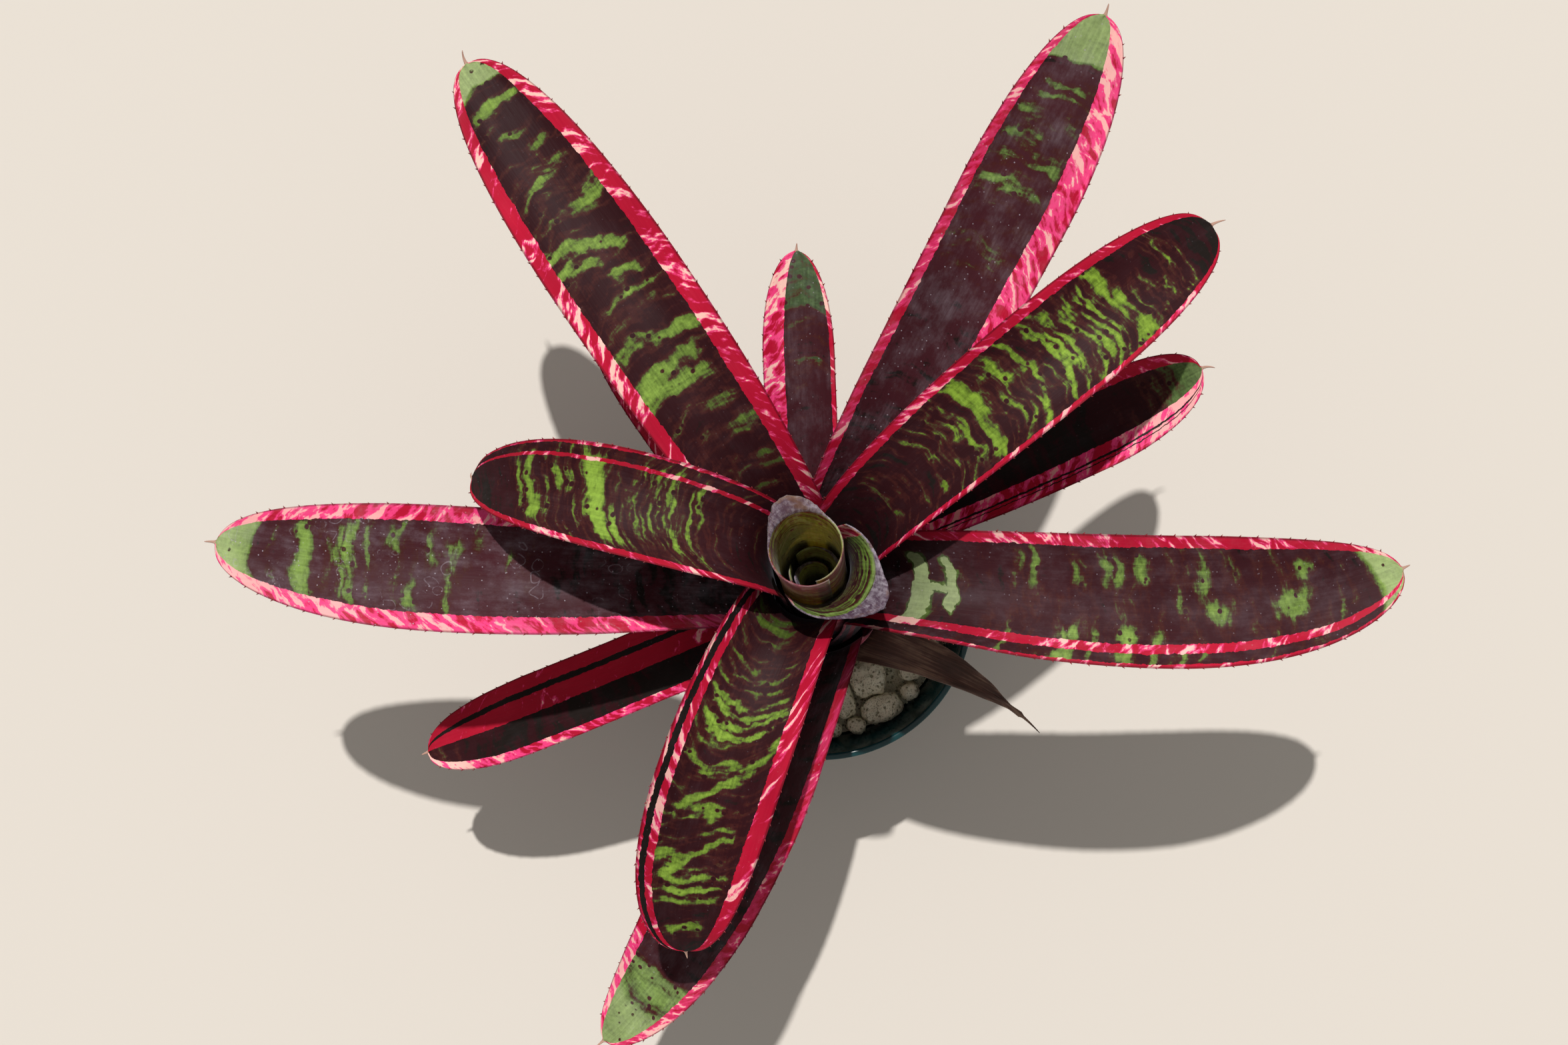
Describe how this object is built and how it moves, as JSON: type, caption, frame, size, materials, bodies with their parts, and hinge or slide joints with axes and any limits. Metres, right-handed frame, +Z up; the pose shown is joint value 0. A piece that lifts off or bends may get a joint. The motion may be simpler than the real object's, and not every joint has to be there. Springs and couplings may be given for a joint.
{
  "type": "neoregelia bromeliad in a pot",
  "caption": "Neoregelia bromeliad with banded, spine-edged strap leaves around a rolled central cup, growing in pumice in a small round pot that stands on its base.",
  "frame": {"origin": "centre of the pot's underside, on the surface that it stands on", "axes": "+Z up along the pot's axis; +Y north, towards the two longest upward leaves; +X east"},
  "size_m": [0.4047, 0.3503, 0.1964],
  "materials": {
    "pot_glaze": "glossy, dark petrol blue-green, thin lighter lit rim",
    "pumice": "matt, grey-beige, with small dark pits",
    "stem": "matt, fibrous, pale brown, with wiry dark roots",
    "heart_leaf": "satin, olive with fine brown cross-bands, silvery scurf and purple outside",
    "banded_leaf": "satin, dark maroon with irregular green cross-bands and red and cream margins",
    "dry_leaf": "matt, dry and papery, folded lengthwise, dark brown"
  },
  "bodies": {
    "root": {"pot": "pot_glaze", "pumice_bed": "pumice", "pumice_stone_01": "pumice", "pumice_stone_02": "pumice", "pumice_stone_03": "pumice", "pumice_stone_04": "pumice", "pumice_stone_05": "pumice", "pumice_stone_06": "pumice", "pumice_stone_07": "pumice", "pumice_stone_08": "pumice", "pumice_stone_09": "pumice", "pumice_stone_10": "pumice", "pumice_stone_11": "pumice", "pumice_stone_12": "pumice", "pumice_stone_13": "pumice", "pumice_stone_14": "pumice", "pumice_stone_15": "pumice", "pumice_stone_16": "pumice", "pumice_stone_17": "pumice", "pumice_stone_18": "pumice", "pumice_stone_19": "pumice", "pumice_stone_20": "pumice", "pumice_stone_21": "pumice", "pumice_stone_22": "pumice", "pumice_stone_23": "pumice", "pumice_stone_24": "pumice", "pumice_stone_25": "pumice", "pumice_stone_26": "pumice", "pumice_stone_27": "pumice", "pumice_stone_28": "pumice", "pumice_stone_29": "pumice", "pumice_stone_30": "pumice", "pumice_stone_31": "pumice", "pumice_stone_32": "pumice", "pumice_stone_33": "pumice", "pumice_stone_34": "pumice", "pumice_stone_35": "pumice", "pumice_stone_36": "pumice", "pumice_stone_37": "pumice", "pumice_stone_38": "pumice", "stem": "stem", "young_leaf_inner": "heart_leaf", "young_leaf_outer": "heart_leaf", "tube_leaf": "heart_leaf", "funnel_leaf": "heart_leaf", "arching_leaf_west": "banded_leaf", "arching_leaf_northeast": "banded_leaf", "arching_leaf_south": "banded_leaf", "long_leaf_northwest": "banded_leaf", "long_leaf_east": "banded_leaf", "long_leaf_west": "banded_leaf", "long_leaf_north": "banded_leaf", "long_leaf_south": "banded_leaf", "short_leaf_northeast": "banded_leaf", "short_leaf_southwest": "banded_leaf", "short_leaf_north": "banded_leaf", "hidden_leaf_northwest": "banded_leaf", "dry_leaf": "dry_leaf"}
  },
  "joints": []
}
